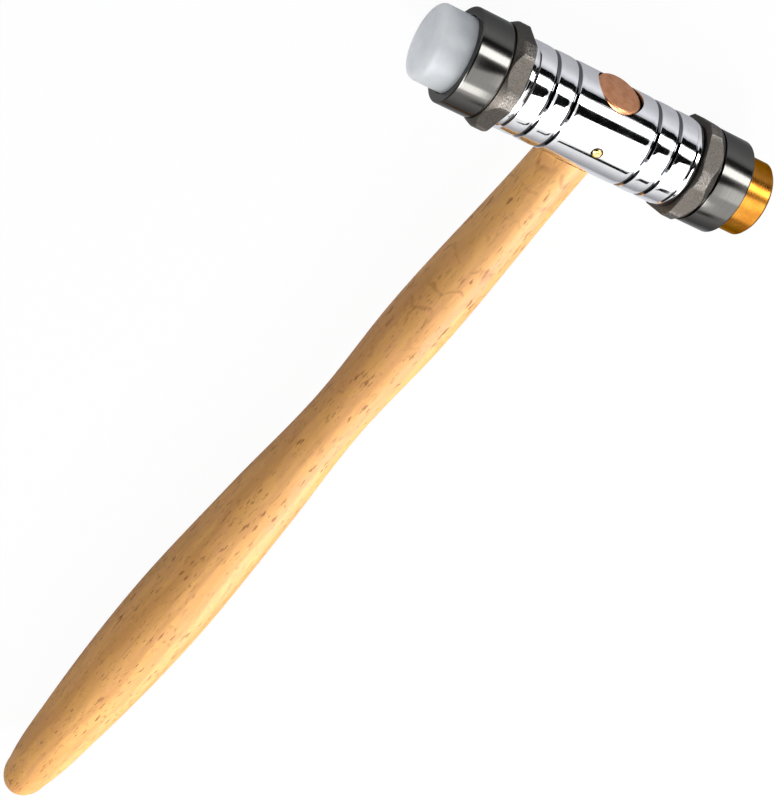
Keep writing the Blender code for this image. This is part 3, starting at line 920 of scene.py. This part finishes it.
def looked_at(tree):
    """Two masks of 1: for the camera's own rays, and for these with the ones in metal and through glass."""
    path = add_node(tree, "LightPath")
    shown = path.outputs["Is Camera Ray"]
    for ray in ("Is Glossy Ray", "Is Transmission Ray"):
        either = add_node(tree, "Math", 'MAXIMUM')
        tree.links.new(shown, either.inputs[0])
        tree.links.new(path.outputs[ray], either.inputs[1])
        shown = either.outputs["Value"]
    return path.outputs["Is Camera Ray"], shown


bpy.ops.mesh.primitive_plane_add(size=FLOOR_SIZE, location=(0.0, 0.0, 0.0))
floor = bpy.context.object
floor.name = "floor"
paper, tree, shader = new_material("white paper")
shader.inputs["Roughness"].default_value = 1.0
shader.inputs["Specular IOR Level"].default_value = 0.0
to_camera, to_any = looked_at(tree)
in_metal = add_node(tree, "LightPath").outputs["Is Glossy Ray"]
# In the metal only: a painted shadow in front of the head, from FLOOR_SHADED near it to FLOOR_BRIGHT further
# out, then painted shade far off.
ahead = axis_part(tree, place(tree), "Y")
in_front = times(tree, remap(tree, ahead, FLOOR_FRONT_EDGE, NONE_TO_FULL), in_metal)
lightening = blend(tree, remap(tree, ahead, FLOOR_LIGHTENING, NONE_TO_FULL), FLOOR_SHADED, FLOOR_BRIGHT)
far_off = times(tree, remap(tree, absolute(tree, ahead), FLOOR_FADING, NONE_TO_FULL), in_metal)
colour = blend(tree, in_front, FLOOR_WHITE, lightening)
colour = blend(tree, far_off, colour, FLOOR_DISTANT)
tree.links.new(colour, shader.inputs["Base Color"])
glow = add_node(tree, "Emission")
tree.links.new(blend(tree, to_camera, colour, ZENITH_WHITE), glow.inputs["Color"])
share = add_node(tree, "Math", 'MAXIMUM')
tree.links.new(times(tree, to_camera, FLOOR_GLOW), share.inputs[0])
tree.links.new(times(tree, to_any, FLOOR_GLOW_IN_METAL), share.inputs[1])
mix = add_node(tree, "MixShader")
tree.links.new(share.outputs["Value"], mix.inputs["Fac"])
tree.links.new(shader.outputs["BSDF"], mix.inputs[1])
tree.links.new(glow.outputs["Emission"], mix.inputs[2])
tree.links.new(mix.outputs["Shader"], tree.nodes["Material Output"].inputs["Surface"])
floor.data.materials.append(paper)

world = bpy.data.worlds.new("studio")
scene.world = world
world.use_nodes = True
tree = world.node_tree
to_camera, to_any = looked_at(tree)
sight = add_node(tree, "TexCoord")
height = axis_part(tree, sight.outputs["Generated"], "Z")
walls = blend(tree, remap(tree, height, WALL_RISE, NONE_TO_FULL), HORIZON_GREY, ZENITH_WHITE)
steepness = add_node(tree, "Math", 'DIVIDE')
tree.links.new(height, steepness.inputs[0])
tree.links.new(distance_off_axis(tree, sight.outputs["Generated"]), steepness.inputs[1])
below_ceiling = remap(tree, steepness.outputs["Value"], CEILING_STEEPNESS, FULL_TO_NONE)
sideways = axis_part(tree, sight.outputs["Generated"], "X")
brass_side = remap(tree, sideways, BRASS_SIDE, NONE_TO_FULL)
nylon_side = remap(tree, sideways, NYLON_SIDE, FULL_TO_NONE)
walls = blend(tree, times(tree, brass_side, below_ceiling), walls, SIDE_DARK)
walls = blend(tree, times(tree, nylon_side, below_ceiling), walls, SIDE_DARK)
seen = tree.nodes["Background"]
tree.links.new(blend(tree, to_camera, walls, ZENITH_WHITE), seen.inputs["Color"])
ambient = add_node(tree, "Background", Strength=AMBIENT)
mix = add_node(tree, "MixShader")
tree.links.new(to_any, mix.inputs["Fac"])
tree.links.new(ambient.outputs["Background"], mix.inputs[1])
tree.links.new(seen.outputs["Background"], mix.inputs[2])
tree.links.new(mix.outputs["Shader"], tree.nodes["World Output"].inputs["Surface"])

# Soft boxes and flags
# Narrow soft boxes and black cards show in the head, and a broad box overhead shows in all that is glossy.
# A ceiling box, which doesn't show, lights the wood, the nylon and the floor. Each runs along the head and
# stands at an angle about it, counted from straight ahead of its top upwards.
BOX_DISTANCE = 0.5
STRIP_SPAN = (14.4, 33.2)
STRIP_REACH = (0.05, 0.45)
STRIP_GLARE = 9.0
OVERHEAD_SPAN = (56.0, 130.0)
OVERHEAD_REACH = (-1.2, 1.6)
OVERHEAD_GLARE = 1.2
CEILING_SPAN = (72.0, 158.0)
CEILING_REACH = (-0.2, 1.6)
CEILING_GLARE = 1.65
BACK_BOX_SPAN = (102.0, 120.0)
BACK_BOX_REACH = (-1.5, 0.215)
BACK_BOX_GLARE = 6.0
FRONT_BOX_SPAN = (52.0, 84.0)
FRONT_BOX_REACH = (0.25, 0.9)
FRONT_BOX_GLARE = 2.0
LOW_FLAG_SPAN = (-2.5, 12.5)
LOW_FLAG_DISTANCE = 0.1
LOW_FLAG_REACH = (-0.2, 0.3)
MIDDLE_FLAG_SPAN = (32.8, 67.0)
MIDDLE_FLAG_REACH = (0.10, 0.34)
MIDDLE_FLAG_TAPER = (0.224, 0.27)
SIDE_BOX_SPAN = (104.0, 120.0)
SIDE_BOX_REACH = (-1.5, 0.0)
SIDE_BOX_GLARE = 5.0
SIDE_FLAG_SPAN = (12.0, 101.0)
SIDE_FLAG_REACH = (-1.2, 0.02)
SIDE_FLAG_DISTANCE = 0.42
# The back card's reach runs towards the nylon face, and so does its taper.
BACK_FLAG_SPAN = (130.0, 141.5)
BACK_FLAG_REACH = (0.30, 0.17)
BACK_FLAG_TAPER = (0.22, -0.66)
VELVET = (0.004, 0.004, 0.004)


def around_head(span, reach, distance):
    """Where a card that covers a span of angles stands, facing the head, and its length and width."""
    low, high = (math.radians(angle) for angle in span)
    middle = (low + high) / 2
    away = Vector((0.0, math.cos(middle), math.sin(middle)))
    width = 2 * distance * math.tan((high - low) / 2)
    facing = Matrix((ALONG_HEAD, away.cross(ALONG_HEAD), away)).transposed().to_4x4()
    stand = Matrix.Translation(HEAD + away * distance + ALONG_HEAD * (reach[0] + reach[1]) / 2)
    return stand @ facing, reach[1] - reach[0], width


def soft_box(name, span, glare, reach):
    """A soft box that shows in what is glossy and adds no other light."""
    stand, length, width = around_head(span, reach, BOX_DISTANCE)
    bpy.ops.object.light_add(type='AREA')
    lamp = bpy.context.object
    lamp.name = name
    lamp.matrix_world = stand
    lamp.data.shape = 'RECTANGLE'
    lamp.data.size = length
    lamp.data.size_y = width
    lamp.data.energy = glare * math.pi * length * width
    lamp.visible_diffuse = False
    lamp.visible_camera = False
    return lamp


def flag(name, span, reach, distance=BOX_DISTANCE, taper=(1.0, 0.0)):
    """A black card that shows in metal only and throws no shadow.

    Its taper gives the width left at the end of its reach, and the height that this end shrinks towards.
    """
    stand, length, width = around_head(span, reach, distance)
    bpy.ops.mesh.primitive_plane_add(size=1.0, location=(0.0, 0.0, 0.0))
    card = bpy.context.object
    card.name = name
    bpy.ops.object.mode_set(mode='EDIT')
    bpy.ops.mesh.select_all(action='DESELECT')
    bpy.ops.object.mode_set(mode='OBJECT')
    for vertex in card.data.vertices:
        vertex.select = vertex.co.x > 0
    bpy.ops.object.mode_set(mode='EDIT')
    bpy.ops.transform.resize(value=(1.0, taper[0], 1.0), center_override=(0.5, taper[1], 0.0))
    bpy.ops.object.mode_set(mode='OBJECT')
    card.matrix_world = stand @ Matrix.Diagonal((length, width, 1.0, 1.0))
    bpy.ops.object.transform_apply(location=True, rotation=True, scale=True)
    card.data.materials.append(velvet)
    card.visible_camera = False
    card.visible_diffuse = False
    card.visible_shadow = False
    card.visible_transmission = False


def aim(lamp, pieces):
    """Let a lamp light only the given pieces."""
    aimed_at = bpy.data.collections.new("lit by the " + lamp.name)
    for piece in pieces:
        aimed_at.objects.link(piece)
    lamp.light_linking.receiver_collection = aimed_at


velvet, tree, shader = new_material("black velvet")
shader.inputs["Base Color"].default_value = (*VELVET, 1.0)
shader.inputs["Roughness"].default_value = 1.0
shader.inputs["Specular IOR Level"].default_value = 0.0
head_pieces = (barrel, nylon_holder, brass_holder, nylon_face, brass_face, pin, plug)
for name, span, glare, reach in (
    ("strip box", STRIP_SPAN, STRIP_GLARE, STRIP_REACH),
    ("back box", BACK_BOX_SPAN, BACK_BOX_GLARE, BACK_BOX_REACH),
    ("front box", FRONT_BOX_SPAN, FRONT_BOX_GLARE, FRONT_BOX_REACH),
    ("side box", SIDE_BOX_SPAN, SIDE_BOX_GLARE, SIDE_BOX_REACH),
):
    aim(soft_box(name, span, glare, reach), head_pieces)
soft_box("overhead box", OVERHEAD_SPAN, OVERHEAD_GLARE, OVERHEAD_REACH)
ceiling = soft_box("ceiling box", CEILING_SPAN, CEILING_GLARE, CEILING_REACH)
ceiling.visible_diffuse = True
ceiling.visible_glossy = False
flag("low flag", LOW_FLAG_SPAN, LOW_FLAG_REACH, LOW_FLAG_DISTANCE)
flag("side flag", SIDE_FLAG_SPAN, SIDE_FLAG_REACH, SIDE_FLAG_DISTANCE)
flag("middle flag", MIDDLE_FLAG_SPAN, MIDDLE_FLAG_REACH, taper=MIDDLE_FLAG_TAPER)
flag("back flag", BACK_FLAG_SPAN, BACK_FLAG_REACH, taper=BACK_FLAG_TAPER)

# Key and fill
# A soft lamp beside the brass face lights only the wood and the floor, and a weak one before the nylon face
# fills only that face's shade, so that neither glares in the metal.
KEY_FROM_HEAD = Vector((0.95, -0.70, 0.66))
KEY_SIZE = 0.3
KEY_POWER = 13.0
FILL_FROM_HEAD = Vector((-0.25, 0.09, 0.10))
FILL_SIZE = 0.15
FILL_POWER = 0.26


def soft_lamp(name, from_head, size, power):
    """A square soft lamp that faces the head."""
    bpy.ops.object.light_add(type='AREA', location=HEAD + from_head)
    lamp = bpy.context.object
    lamp.name = name
    lamp.rotation_euler = from_head.to_track_quat('Z', 'Y').to_euler()
    lamp.data.size = size
    lamp.data.energy = power
    lamp.visible_camera = False
    return lamp


key = soft_lamp("key", KEY_FROM_HEAD, KEY_SIZE, KEY_POWER)
fill = soft_lamp("fill", FILL_FROM_HEAD, FILL_SIZE, FILL_POWER)
fill.visible_glossy = False
aim(key, (handle, floor))
aim(fill, (nylon_face,))
